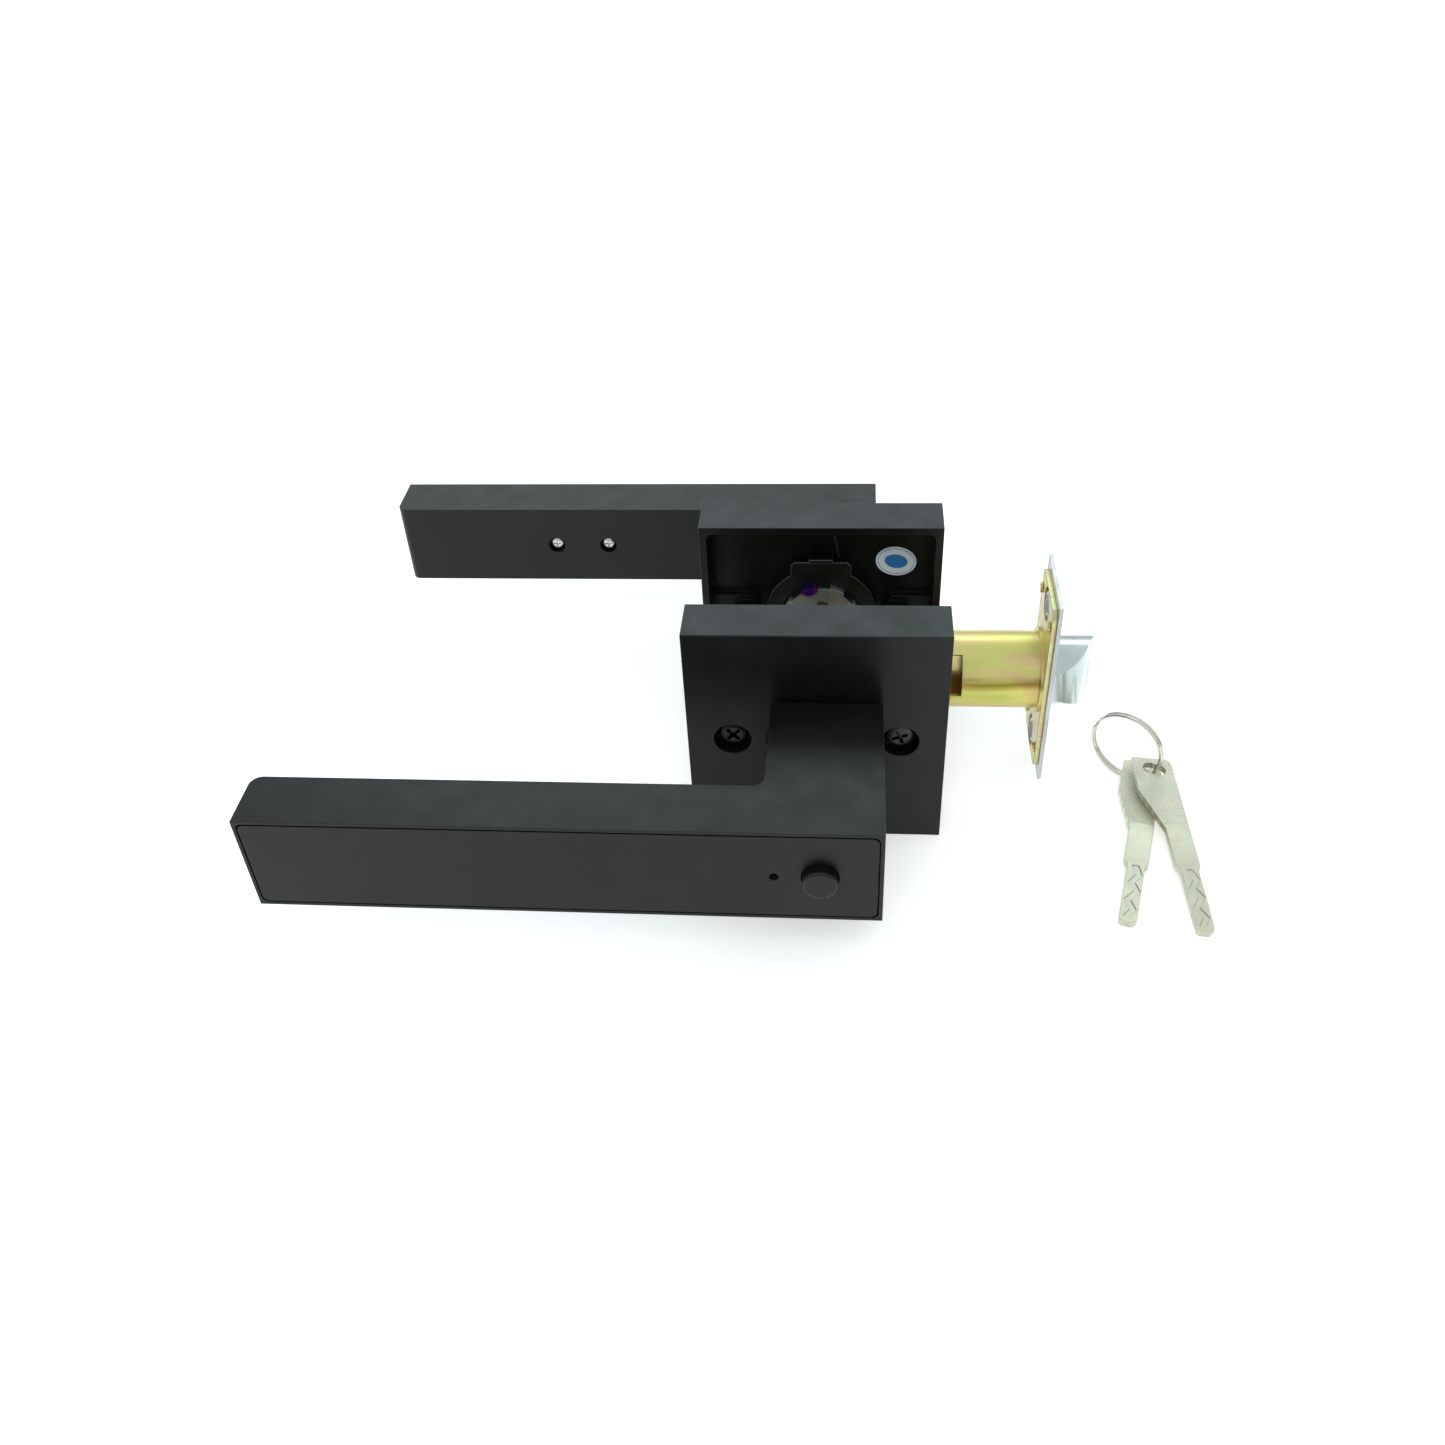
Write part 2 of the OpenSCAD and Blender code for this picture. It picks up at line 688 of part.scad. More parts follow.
// A key's outline, from the middle of its tip.
key_edge = [[-2.2, 0.9], [-1.6, 0.3], [0.8, 0], [1.9, 0.8], [2.2, 1.9], [2.2, 19.6], [2.95, 20.2],
    [2.95, key_l - 3.6], [2.7, key_l - 2.3], [1.9, key_l - 1.2], [-6.8, key_l], [-7.45, key_l - 0.5],
    [-7.45, 46.4], [-3.15, 32.9], [-3.15, 21], [-2.2, 19.3]];
key_cut = [[-0.2, 19.4], [1, 16.2], [-0.5, 13.4], [1.1, 10.6], [-0.9, 7.4], [0.8, 4.4], [-0.5, 1.9]];
cut_half = 0.85;
cut_deep = 0.25;

// The origin is where the ring passes through the slot in the bow.
module flat_key() translate([-key_hole[0], -key_hole[1]]) difference() {
    linear_extrude(key_t) difference() {
        polygon(key_edge);
        translate(key_hole - [0.3, 0]) rotate(-27) round_rect([-3, 3], [-1.8, 1.8], 1.75);
    }
    // a winding cut along the blade, on both sides
    for (z = [-1, key_t - cut_deep])
        translate([0, 0, z]) linear_extrude(1 + cut_deep)
            polygon(concat([for (p = key_cut) [p[0] - cut_half, p[1]]],
                [for (i = [len(key_cut) - 1 : -1 : 0]) [key_cut[i][0] + cut_half, key_cut[i][1]]]));
}

// Lays a key so that its tip rests on the surface and its ring hole is where the ring passes.
module laid_key(i) {
    run = key_hole[1];
    mid = floor_z + run * sin(key_tilt[i]) + key_t / 2;
    s = sqrt(pow(ring_d / 2, 2) - pow(mid - ring_z, 2));
    translate([ring_at[0] + s * cos(ring_turn), ring_at[1] + s * sin(ring_turn),
            floor_z + run * sin(key_tilt[i])])
        rotate([0, 0, key_turn[i]]) rotate([key_tilt[i], 0, 0])
            flat_key();
}

module key_1() color(nickel) laid_key(0);
module key_2() color(nickel) laid_key(1);

// Two turns of wire side by side, standing on the surface.
module key_ring() color(nickel)
    translate([ring_at[0], ring_at[1], ring_z]) rotate([90, 0, ring_turn])
        for (z = [-0.52, 0.52]) translate([0, 0, z]) rotate_extrude()
            translate([ring_d / 2, 0]) circle(ring_wire / 2, $fn = 24);

// ---- assembly ----

inside_rose();
outside_rose();
mounting_screws();
inside_bushing();
outside_bushing();
inside_spring_plate();
outside_spring_plate();
inside_return_spring();
outside_return_spring();
inside_circlip();
outside_circlip();
inspection_sticker();
wire_harness();
inside_lever();
battery_cover();
battery_tray();
battery(1);  // battery_1
battery(2);  // battery_2
battery(3);  // battery_3
battery(4);  // battery_4
battery_contacts();
inside_board();
privacy_button();
button_spring();
reset_plunger();
spindle();
latch_tube();
latch_case();
latch_backplate();
latch_faceplate();
faceplate_rivets();
latch_cam();
latch_springs();
bolt_tail();
latch_bolt();
outside_lever();
keypad_glass();
keypad_frame();
keypad_board();
fingerprint_sensor();
lever_screws();
key_cylinder();
key_plug();
clutch_ring();
clutch_motor();
clutch_screw();
clutch_dog();
key_ring();
key_1();
key_2();
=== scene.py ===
# Looks of the lever lock set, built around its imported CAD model.
# The frame is the one that the CAD and the motion share: metres, with the spindle along Y through the origin.
# A size in millimetres is multiplied by MM.
import json
import math

import bmesh
import bpy
from mathutils import Matrix, Vector


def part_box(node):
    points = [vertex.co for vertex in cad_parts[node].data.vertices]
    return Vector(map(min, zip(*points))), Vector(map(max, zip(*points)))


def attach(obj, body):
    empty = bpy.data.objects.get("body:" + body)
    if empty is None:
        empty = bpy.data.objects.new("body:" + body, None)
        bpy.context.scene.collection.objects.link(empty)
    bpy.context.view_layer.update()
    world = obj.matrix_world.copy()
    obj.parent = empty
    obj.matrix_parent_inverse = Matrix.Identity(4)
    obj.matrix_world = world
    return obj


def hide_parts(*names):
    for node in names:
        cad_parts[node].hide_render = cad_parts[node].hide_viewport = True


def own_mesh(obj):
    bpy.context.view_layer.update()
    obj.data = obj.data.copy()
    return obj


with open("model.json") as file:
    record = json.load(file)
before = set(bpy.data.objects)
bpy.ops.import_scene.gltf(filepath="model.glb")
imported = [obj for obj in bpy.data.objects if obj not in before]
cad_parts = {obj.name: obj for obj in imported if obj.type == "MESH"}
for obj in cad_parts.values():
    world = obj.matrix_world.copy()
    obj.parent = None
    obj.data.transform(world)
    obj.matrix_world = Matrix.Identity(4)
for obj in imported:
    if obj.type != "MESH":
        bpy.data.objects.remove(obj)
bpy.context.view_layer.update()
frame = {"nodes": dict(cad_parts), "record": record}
MM = 0.001
FLOOR_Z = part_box("inside_rose")[0].z
BODY_OF = {n: b for b, ns in frame["record"]["behaviour"]["bodies"].items() for n in ns}
SLOT_OF = {s["node"]: s["material_slot"] for s in frame["record"]["subparts"]}


# ---------------------------------------------------------------- camera, floor and light

CAMERA_AT = (0.00732, -0.28941, 0.22270)
CAMERA_TURN = (39.80, -6.76, -3.51)     # degrees downward, to the right and rolled
LENS, LENS_FRAME = 33.695, 36           # mm
TABLE_REACH = 3
TABLE_GLOW = 0.34


def make_camera():
    """The view from the front, above and a little to the right of the spindle."""
    pitch, yaw, roll = (math.radians(a) for a in CAMERA_TURN)
    level_share = math.cos(pitch)
    forward = Vector((math.sin(yaw) * level_share, math.cos(yaw) * level_share, -math.sin(pitch)))
    right = Vector((math.cos(yaw), -math.sin(yaw), 0))
    up = right.cross(forward)
    level = Matrix((right, up, -forward)).transposed()
    data = bpy.data.cameras.new("camera")
    data.lens = LENS
    data.sensor_width = LENS_FRAME
    data.clip_start = 0.01
    camera = bpy.data.objects.new("camera", data)
    camera.matrix_world = (
        Matrix.Translation(CAMERA_AT)
        @ (level @ Matrix.Rotation(roll, 3, "Z")).to_4x4()
    )
    bpy.context.scene.collection.objects.link(camera)
    bpy.context.scene.camera = camera


def area_light(name, place, target, size, watts, tint=(1, 1, 1), mirrored=True):
    """A soft box; when not mirrored it lights the set without showing in its reflections."""
    data = bpy.data.lights.new(name, "AREA")
    data.shape = "RECTANGLE"
    data.size, data.size_y = size
    data.energy = watts
    data.color = tint
    lamp = bpy.data.objects.new(name, data)
    lamp.visible_glossy = mirrored
    lamp.location = place
    lamp.rotation_euler = (Vector(target) - Vector(place)).to_track_quat("-Z", "Y").to_euler()
    bpy.context.scene.collection.objects.link(lamp)


def sky():
    """An even white tent: bright and a little cool overhead, and grey toward the horizon."""
    world = bpy.data.worlds.new("tent")
    bpy.context.scene.world = world
    world.use_nodes = True
    tree = world.node_tree
    coords = tree.nodes.new("ShaderNodeTexCoord")
    split = tree.nodes.new("ShaderNodeSeparateXYZ")
    tree.links.new(coords.outputs["Generated"], split.inputs["Vector"])
    height = tree.nodes.new("ShaderNodeValToRGB")
    stops = [(0.0, (0.42, 0.42, 0.42)), (0.10, (0.50, 0.51, 0.51)), (0.30, (0.93, 0.98, 1.0)),
             (1.0, (0.90, 0.99, 1.0))]
    while len(height.color_ramp.elements) < len(stops):
        height.color_ramp.elements.new(0.5)
    for element, (at, colour) in zip(height.color_ramp.elements, stops):
        element.position = at
        element.color = (*colour, 1)
    tree.links.new(split.outputs["Z"], height.inputs["Fac"])
    background = tree.nodes["Background"]
    background.inputs["Strength"].default_value = 0.97
    tree.links.new(height.outputs["Color"], background.inputs["Color"])


def backdrop(name, corners, colour):
    """One flat sheet of the studio, and the shader of its material."""
    mesh = bpy.data.meshes.new(name)
    mesh.from_pydata(corners, [], [(0, 1, 2, 3)])
    sheet = bpy.data.objects.new(name, mesh)
    bpy.context.scene.collection.objects.link(sheet)
    material = bpy.data.materials.new(name)
    material.use_nodes = True
    shader = material.node_tree.nodes["Principled BSDF"]
    shader.inputs["Base Color"].default_value = (*colour, 1)
    mesh.materials.append(material)
    return sheet, shader


def make_studio():
    """A white light table under the tent, with soft boxes for the highlights."""
    bpy.context.scene.view_settings.view_transform = "Standard"
    sky()
    reach = TABLE_REACH
    corners = [(-reach, -reach), (reach, -reach), (reach, reach), (-reach, reach)]
    _, paper = backdrop("floor", [(x, y, FLOOR_Z) for x, y in corners], (0.93, 0.93, 0.93))
    paper.inputs["Roughness"].default_value = 0.9
    paper.inputs["Emission Color"].default_value = (1, 1, 1, 1)
    paper.inputs["Emission Strength"].default_value = TABLE_GLOW
    area_light("key_box", (0.05, -0.75, 1.0), (0, 0, 0), (0.5, 0.4), 3.5, mirrored=False)
    area_light("back_box", (0.0, 0.9, 0.75), (0, 0, 0), (1.2, 0.4), 2.7, (0.80, 1.0, 1.02))
    # a low black card behind the camera, which shows only in reflections
    left, right, top = -0.1, 1.2, 0.13
    edges = [(left, 0), (right, 0), (right, top), (left, top)]
    card, _ = backdrop("flag", [(x, -0.9, FLOOR_Z + z) for x, z in edges], (0.02, 0.02, 0.02))
    card.visible_camera = card.visible_shadow = card.visible_diffuse = False


# ---------------------------------------------------------------- materials

class Look:
    """A Principled material whose colour, roughness and relief come from noise in the object's own metres."""

    def __init__(self, name, base, metallic=0.0, roughness=0.5, **sockets):
        self.material = bpy.data.materials.new(name)
        self.material.use_nodes = True
        self.tree = self.material.node_tree
        self.shader = self.tree.nodes["Principled BSDF"]
        self.set("Base Color", (*base, 1))
        self.set("Metallic", metallic)
        self.set("Roughness", roughness)
        for socket, value in sockets.items():
            self.set(socket.replace("_", " ").title().replace("Ior", "IOR"), value)
        self.normal = None
        LOOKS[name] = self

    def set(self, socket, value):
        self.shader.inputs[socket].default_value = value

    def node(self, kind, **values):
        made = self.tree.nodes.new(kind)
        for key, value in values.items():
            setattr(made, key, value)
        return made

    def link(self, source, target):
        self.tree.links.new(source, target)

    def place(self, stretch=(1, 1, 1), turn=(0, 0, 0), shift=(0, 0, 0)):
        coords = self.node("ShaderNodeTexCoord")
        mapping = self.node("ShaderNodeMapping")
        mapping.inputs["Scale"].default_value = stretch
        mapping.inputs["Rotation"].default_value = turn
        mapping.inputs["Location"].default_value = shift
        self.link(coords.outputs["Object"], mapping.inputs["Vector"])
        return mapping.outputs["Vector"]

    def noise(self, scale, detail=3.0, stretch=(1, 1, 1), turn=(0, 0, 0), distortion=0.0):
        made = self.node("ShaderNodeTexNoise")
        made.inputs["Scale"].default_value = scale
        made.inputs["Detail"].default_value = detail
        made.inputs["Distortion"].default_value = distortion
        self.link(self.place(stretch, turn), made.inputs["Vector"])
        return made.outputs["Fac"]

    def ramp(self, factor, stops):
        made = self.node("ShaderNodeValToRGB")
        colours = made.color_ramp
        while len(colours.elements) < len(stops):
            colours.elements.new(0.5)
        for element, (at, colour) in zip(colours.elements, stops):
            element.position = at
            element.color = (*colour, 1)
        self.link(factor, made.inputs["Fac"])
        return made.outputs["Color"]

    def spread(self, factor, low, high, start=0.3, stop=0.7):
        made = self.node("ShaderNodeMapRange")
        made.inputs["From Min"].default_value = start
        made.inputs["From Max"].default_value = stop
        made.inputs["To Min"].default_value = low
        made.inputs["To Max"].default_value = high
        self.link(factor, made.inputs["Value"])
        return made.outputs["Result"]

    def colour(self, factor, stops):
        self.link(self.ramp(factor, stops), self.shader.inputs["Base Color"])
        return self

    def rough(self, factor, low, high):
        self.link(self.spread(factor, low, high), self.shader.inputs["Roughness"])
        return self

    def relief(self, factor, depth, strength=1.0):
        bump = self.node("ShaderNodeBump")
        bump.inputs["Distance"].default_value = depth
        bump.inputs["Strength"].default_value = strength
        self.link(factor, bump.inputs["Height"])
        if self.normal is not None:
            self.link(self.normal, bump.inputs["Normal"])
        self.normal = bump.outputs["Normal"]
        self.link(self.normal, self.shader.inputs["Normal"])
        return self


LOOKS = {}


def grey(v, warm=0.0):
    return (v * (1 + warm), v, v * (1 - warm))


def powder_coat(name, low, high, roughness):
    """Fine satin powder coat: a faint orange peel, a finer grain and slow changes of tone."""
    look = Look(name, low, roughness=roughness, specular_ior_level=0.275)
    look.colour(look.noise(60, 4), [(0.3, low), (0.7, high)])
    look.rough(look.noise(140, 3), roughness - 0.05, roughness + 0.06)
    look.relief(look.noise(900, 2), 0.00003, 0.35)
    look.relief(look.noise(4200, 2), 0.00001, 0.5)
    return look


def metal(name, low, high, roughness, grain=(1, 1, 1), scale=300, depth=0.00001, spread=0.08):
    """Plated or turned metal: brushed or speckled roughness along grain, and slow toning."""
    look = Look(name, low, metallic=1.0, roughness=roughness)
    look.colour(look.noise(90, 4), [(0.3, low), (0.7, high)])
    look.rough(look.noise(scale, 5, grain), roughness - spread, roughness + spread)
    look.relief(look.noise(scale * 3, 3, grain), depth, 0.5)
    return look


def moulded(name, low, high, roughness=0.5):
    """Moulded plastic, board or paper: slight changes of tone and a fine satin grain."""
    look = Look(name, low, roughness=roughness)
    look.colour(look.noise(120, 3), [(0.3, low), (0.7, high)])
    look.rough(look.noise(700, 2), roughness - 0.06, roughness + 0.06)
    look.relief(look.noise(2600, 2), 0.00002, 0.4)
    return look


def make_materials():
    powder_coat("satin_black_zinc", (0.0030, 0.0032, 0.0034), (0.0044, 0.0047, 0.0050), 0.36)
    # a lighter black for the rounds on edges: a painted highlight along each edge
    powder_coat("satin_black_painted_highlight", (0.007, 0.0075, 0.008), (0.014, 0.0145, 0.015), 0.32)
    metal("black_oxide_steel", grey(0.035), grey(0.06), 0.42)
    metal("bright_steel", grey(0.55), grey(0.70), 0.26, (1, 0.15, 1))
    metal("spring_steel", grey(0.42, 0.01), grey(0.55, 0.01), 0.28)
    metal("satin_nickel", (0.54, 0.55, 0.49), (0.66, 0.67, 0.60), 0.33)
    metal("plate_nickel", (0.42, 0.415, 0.44), (0.56, 0.55, 0.58), 0.34, (1, 1, 0.15))
    metal("chrome_bolt", (0.46, 0.52, 0.52), (0.58, 0.63, 0.62), 0.22, (1, 1, 0.08), 420, 0.000008, 0.07)
    metal("brass", (0.60, 0.44, 0.17), (0.76, 0.60, 0.29), 0.30, (1, 0.2, 1))
    metal("motor_can", grey(0.45), grey(0.60), 0.35, (1, 0.05, 1))
    moulded("black_plastic", (0.004, 0.004, 0.0042), (0.007, 0.007, 0.0075), 0.42)
    moulded("white_nylon", (0.66, 0.65, 0.60), (0.76, 0.75, 0.71), 0.45)
    moulded("wire_sleeve", (0.012, 0.012, 0.012), (0.022, 0.022, 0.022), 0.5)
    moulded("paper_label", (0.60, 0.66, 0.70), (0.78, 0.82, 0.85), 0.55)
    moulded("green_board", (0.006, 0.07, 0.03), (0.012, 0.11, 0.05), 0.35)
    moulded("cell_wrap", (0.02, 0.022, 0.025), (0.035, 0.037, 0.04), 0.3)
    moulded("cell_band", (0.55, 0.28, 0.05), (0.66, 0.36, 0.08), 0.3)
    zinc = Look("yellow_zinc", (0.55, 0.52, 0.25), metallic=0.92, roughness=0.34)
    zinc.colour(zinc.noise(95, 5, (0.30, 1, 1), distortion=0.9), [
        (0.28, (0.42, 0.47, 0.18)), (0.40, (0.62, 0.60, 0.27)), (0.50, (0.66, 0.52, 0.30)),
        (0.58, (0.56, 0.60, 0.27)), (0.66, (0.68, 0.50, 0.34)), (0.76, (0.72, 0.72, 0.40))])
    zinc.rough(zinc.noise(500, 4, (0.2, 1, 1)), 0.26, 0.44)
    zinc.relief(zinc.noise(1500, 3, (0.2, 1, 1)), 0.00001, 0.5)
    # a dark brown for the rounds on the backplate's edges: a painted shadow of the gap beside it
    metal("zinc_painted_gap_shadow", (0.07, 0.055, 0.02), (0.14, 0.12, 0.05), 0.42)
    make_tube_zinc()
    make_heat_tint()
    make_key_nickel()
    moulded("printed_blue", (0.02, 0.16, 0.42), (0.03, 0.22, 0.52), 0.45)
    moulded("printed_white", (0.62, 0.64, 0.66), (0.72, 0.74, 0.76), 0.4)
    # a lighter grey for the rounds on the spring plates' edges: a painted highlight
    metal("oxide_painted_highlight", grey(0.16), grey(0.26), 0.38)
    metal("ring_steel", (0.60, 0.59, 0.51), (0.74, 0.73, 0.64), 0.16)
    glass = Look("black_glass", (0.006, 0.006, 0.007), roughness=0.06, coat_weight=0.6, coat_roughness=0.03)
    glass.colour(glass.noise(300, 2), [(0.3, (0.005, 0.005, 0.006)), (0.7, (0.008, 0.008, 0.009))])
    glass.rough(glass.noise(90, 4), 0.04, 0.10)


def make_tube_zinc():
    """The tube: yellow passivation with green and pink patches, and a painted reflection: a dark brown band
    above its axis.
    """
    look = metal("tube_zinc", (0.6, 0.6, 0.3), (0.7, 0.6, 0.3), 0.34, (0.2, 1, 1), 500)
    patches = look.ramp(look.noise(75, 5, (0.35, 1, 1), distortion=0.8), [
        (0.30, (0.58, 0.63, 0.17)), (0.42, (0.72, 0.66, 0.23)), (0.52, (0.68, 0.52, 0.24)),
        (0.60, (0.60, 0.58, 0.18)), (0.68, (0.68, 0.49, 0.26)), (0.78, (0.74, 0.72, 0.30))])
    split = look.node("ShaderNodeSeparateXYZ")
    coords = look.node("ShaderNodeTexCoord")
    look.link(coords.outputs["Object"], split.inputs["Vector"])
    wander = look.node("ShaderNodeMath", operation="MULTIPLY_ADD")
    look.link(look.noise(60, 3, (0.5, 1, 1)), wander.inputs[0])
    wander.inputs[1].default_value = 0.003      # how far the painted reflection band strays
    look.link(split.outputs["Z"], wander.inputs[2])
    # a dark brown band by height, multiplied into the colour: a painted reflection
    painted_reflection_band = look.ramp(look.spread(wander.outputs["Value"], 0, 1, 0.0018, 0.0062), [
        (0.0, (0.85, 0.83, 0.74)), (0.3, (0.52, 0.45, 0.30)), (0.55, (0.34, 0.27, 0.14)),
        (0.8, (0.75, 0.71, 0.58)), (1.0, (1, 1, 1))])
    toned = look.node("ShaderNodeMix", data_type="RGBA", blend_type="MULTIPLY")
    toned.inputs["Factor"].default_value = 1.0
    look.link(patches, toned.inputs[6])
    look.link(painted_reflection_band, toned.inputs[7])
    look.link(toned.outputs[2], look.shader.inputs["Base Color"])


HEAT_TINT_AT = (-0.0036, 0.0226, 0.0098)
KNURL_PITCH = 0.00085
BOW_START = -0.0192                     # along a key, in its own frame


def make_heat_tint():
    """The castellated ring: bright steel, with a purple heat tint round one point of its rim."""
    look = metal("tinted_steel", grey(0.74), grey(0.88), 0.46, (1, 0.3, 1), 900)
    coords = look.node("ShaderNodeTexCoord")
    away = look.node("ShaderNodeVectorMath", operation="DISTANCE")
    away.inputs[1].default_value = HEAT_TINT_AT
    look.link(coords.outputs["Object"], away.inputs[0])
    tint = look.ramp(look.spread(away.outputs["Value"], 0, 1, 0.0012, 0.0036), [
        (0.0, (0.10, 0.03, 0.34)), (0.45, (0.16, 0.04, 0.42)), (0.68, (0.50, 0.09, 0.36)),
        (0.86, (0.60, 0.56, 0.50)), (1.0, (0.62, 0.62, 0.61))])
    look.link(tint, look.shader.inputs["Base Color"])


def make_key_nickel():
    """Nickel-plated keys with knurled bows and plain shanks, in the key's own metres."""
    look = metal("key_nickel", (0.57, 0.56, 0.44), (0.67, 0.66, 0.52), 0.36)
    coords = look.node("ShaderNodeTexCoord")
    split = look.node("ShaderNodeSeparateXYZ")
    look.link(coords.outputs["Object"], split.inputs["Vector"])

    def maths(operation, first, second, clamp=False):
        made = look.node("ShaderNodeMath", operation=operation, use_clamp=clamp)
        for socket, value in zip(made.inputs, (first, second)):
            if isinstance(value, (int, float)):
                socket.default_value = value
            else:
                look.link(value, socket)
        return made.outputs["Value"]

    x, y = split.outputs["X"], split.outputs["Y"]
    bow = maths("MULTIPLY", maths("ADD", y, -BOW_START), 4000, True)
    pitch = 2 * math.pi / KNURL_PITCH
    one = maths("SINE", maths("MULTIPLY", maths("ADD", x, maths("MULTIPLY", y, 0.62)), pitch), 0)
    two = maths("SINE", maths("MULTIPLY", maths("SUBTRACT", maths("MULTIPLY", y, 1.15), x), pitch), 0)
    knurl = maths("MULTIPLY", maths("MULTIPLY", maths("MAXIMUM", one, two), 0.5), bow)
    look.relief(knurl, 0.00014, 1.0)
    look.link(look.spread(knurl, 0.46, 0.36, -0.4, 0.5), look.shader.inputs["Roughness"])
    tone = maths("ADD", look.spread(look.noise(150, 4), 0.0, 0.25), maths("MULTIPLY", bow, 0.45))
    # the knurl also sets the colour, darker in its grooves: painted shade in the grooves
    look.colour(maths("ADD", tone, maths("MULTIPLY", knurl, 0.4)), [
        (0.0, (0.50, 0.485, 0.385)), (0.25, (0.62, 0.60, 0.475)), (0.40, (0.44, 0.43, 0.34)),
        (0.55, (0.66, 0.645, 0.52)), (0.90, (0.82, 0.80, 0.66))])


# ---------------------------------------------------------------- mesh helpers

WELD = 1e-6                 # corners closer than this are one, m
FLAT = math.radians(0.3)    # faces that bend less than this are one face
SHARP = math.radians(28)    # edges that bend more than this are rounded


def finished(node, width=0.3, segments=2, look=None, edge=None, own=None):
    """A copy of a CAD node with its sharp edges broken by a small round, which stands for the node.
    own is the piece's own frame at rest, for a material that follows its length."""
    look = look or SLOT_OF[node]
    source = frame["nodes"][node].data
    bm = bmesh.new()
    bm.from_mesh(source)
    bmesh.ops.remove_doubles(bm, verts=bm.verts, dist=WELD)
    bmesh.ops.dissolve_limit(bm, angle_limit=FLAT, verts=bm.verts, edges=bm.edges)
    plain = bpy.data.meshes.new("plain")
    bm.normal_update()
    plain.from_pydata([v.co[:] for v in bm.verts], [], [[v.index for v in f.verts] for f in bm.faces])
    bm.free()
    plain.shade_smooth()
    draft = bpy.data.objects.new("draft", plain)
    bpy.context.scene.collection.objects.link(draft)
    plain.materials.append(LOOKS[look].material)
    plain.materials.append(LOOKS[edge or look].material)
    bevel = draft.modifiers.new("bevel", "BEVEL")
    bevel.limit_method = "ANGLE"
    bevel.angle_limit = SHARP
    bevel.width = width * MM
    bevel.segments = segments
    bevel.harden_normals = True
    bevel.use_clamp_overlap = True
    bevel.miter_outer = "MITER_ARC"
    bevel.material = 1
    graph = bpy.context.evaluated_depsgraph_get()
    mesh = bpy.data.meshes.new_from_object(draft.evaluated_get(graph))
    bpy.data.objects.remove(draft)
    piece = bpy.data.objects.new("fine_" + node, mesh)
    if own:
        mesh.transform(own.inverted())
        piece.matrix_world = own
    bpy.context.scene.collection.objects.link(piece)
    return declare(piece, BODY_OF[node], [node])


def paint_nodes():
    """Every CAD node gets the material of its slot, for where no finer piece stands for it."""
    for name, node in frame["nodes"].items():
        node.data.materials.clear()
        node.data.materials.append(LOOKS[SLOT_OF[name]].material)


def declare(piece, body, replaced=()):
    """Says which body a piece rides on and the CAD nodes that it stands for, which it hides."""
    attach(piece, body)
    if replaced:
        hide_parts(*replaced)
    return piece


def show(name, mesh, looks, smooth=180):
    """A new object of this mesh in the scene, with these looks in its material slots."""
    for look in looks:
        mesh.materials.append(LOOKS[look].material)
    mesh.shade_smooth()
    if smooth < 180:
        mesh.set_sharp_from_angle(angle=math.radians(smooth))
    piece = bpy.data.objects.new(name, mesh)
    bpy.context.scene.collection.objects.link(piece)
    return piece


def ring_faces(rings, sides):
    """Faces of a closed skin over rings of corners, in order, with a flat face at each end."""
    faces = []
    for i in range(rings - 1):
        for k in range(sides):
            j = (k + 1) % sides
            faces.append((i * sides + k, i * sides + j, (i + 1) * sides + j, (i + 1) * sides + k))
    first, last = range(sides - 1, -1, -1), range((rings - 1) * sides, rings * sides)
    return faces + [tuple(first), tuple(last)]


def tube(name, points, radius, body, look, replaced=(), sides=10):
    """A round wire swept along points, with domed ends."""
    points = [Vector(p) for p in points]
    last = len(points) - 1
    rings = []
    side = (points[1] - points[0]).orthogonal()
    for i, point in enumerate(points):
        along = (points[min(i + 1, last)] - points[max(i - 1, 0)]).normalized()
        side = (side - along * side.dot(along)).normalized()
        domes = [(0.0, 1.0)]
        if i == 0:
            domes = [(-0.92, 0.39), (-0.6, 0.8)] + domes
        if i == last:
            domes = domes + [(0.6, 0.8), (0.92, 0.39)]
        rings += [(point + along * radius * shift, side, along.cross(side), radius * share)
                  for shift, share in domes]
    verts = []
    for centre, side, across, r in rings:
        for k in range(sides):
            a = 2 * math.pi * k / sides
            verts.append((centre + (side * math.cos(a) + across * math.sin(a)) * r)[:])
    mesh = bpy.data.meshes.new(name)
    mesh.from_pydata(verts, [], ring_faces(len(rings), sides))
    return declare(show(name, mesh, [look]), body, replaced)


def coil(centre, along, across, radius, length, turns, wire=0.0, dead=0.0, per_turn=32):
    """Points of a coil that starts at centre; its first and last dead turns lie close together."""
    centre, along, across = Vector(centre) * MM, Vector(along), Vector(across)
    third = along.cross(across)
    count = int(turns * per_turn)
    closed = 2.1 * wire         # rise of a turn where the coil is closed
    pitched = length - 2 * closed * dead
    points = []
    for i in range(count + 1):
        turn = turns * i / count
        share = min(1.0, max(0.0, (turn - dead) / (turns - 2 * dead)))
        lift = closed * (min(turn, dead) + max(0.0, turn - turns + dead)) + pitched * share
        a = 2 * math.pi * turn
        points.append(centre + (along * lift + (across * math.cos(a) + third * math.sin(a)) * radius) * MM)
    return points


def plate(name, outline, thickness, origin, right, up, body, look, replaced=()):
    """A flat piece cut to a counterclockwise outline in millimetres, proud of origin along right x up."""
    origin, right, up = Vector(origin) * MM, Vector(right) * MM, Vector(up) * MM
    out = right.cross(up).normalized()
    back = [origin + right * u + up * v for u, v in outline]
    front = [corner + out * thickness * MM for corner in back]
    mesh = bpy.data.meshes.new(name)
    mesh.from_pydata([corner[:] for corner in back + front], [], ring_faces(2, len(outline)))
    return declare(show(name, mesh, [look], 35), body, replaced)


